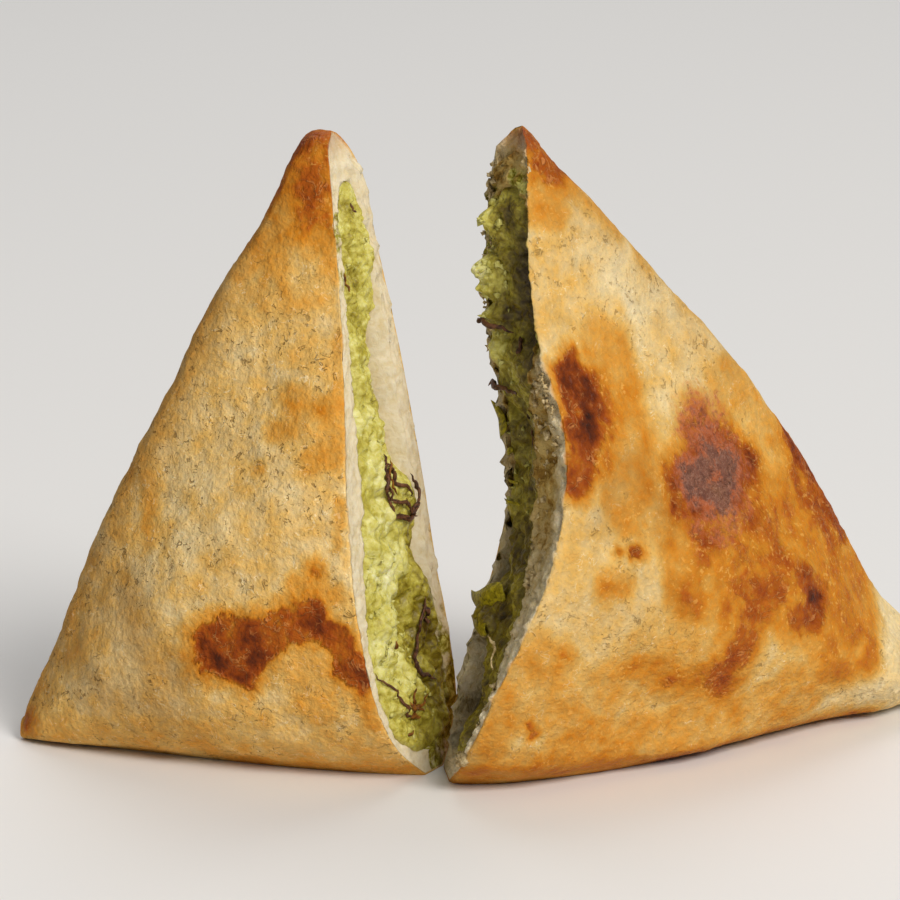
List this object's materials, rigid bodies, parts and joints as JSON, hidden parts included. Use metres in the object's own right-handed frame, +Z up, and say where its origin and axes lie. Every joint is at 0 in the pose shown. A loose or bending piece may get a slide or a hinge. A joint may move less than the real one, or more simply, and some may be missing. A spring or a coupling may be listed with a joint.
{
  "type": "samosa",
  "caption": "Baked triangular samosa cut through its apex, the halves standing open in a V with green mash filling showing.",
  "frame": {"origin": "centre of the footprint of the two halves, on the surface they stand on", "axes": "+Z up along the height of the apexes, +X from the left half to the right half, -Y toward the side the cut faces open to"},
  "size_m": [0.131, 0.056, 0.0881],
  "materials": {
    "left_baked_dough": "matte baked bread crust, cream and tan with browned patches",
    "left_green_mash": "moist lumpy yellow-green mash",
    "right_baked_dough": "matte baked bread crust, golden with dark charred patches",
    "right_green_mash": "moist lumpy yellow-green mash"
  },
  "bodies": {
    "root": {"left_dough": "left_baked_dough", "left_filling": "left_green_mash", "right_dough": "right_baked_dough", "right_filling": "right_green_mash"}
  },
  "joints": []
}
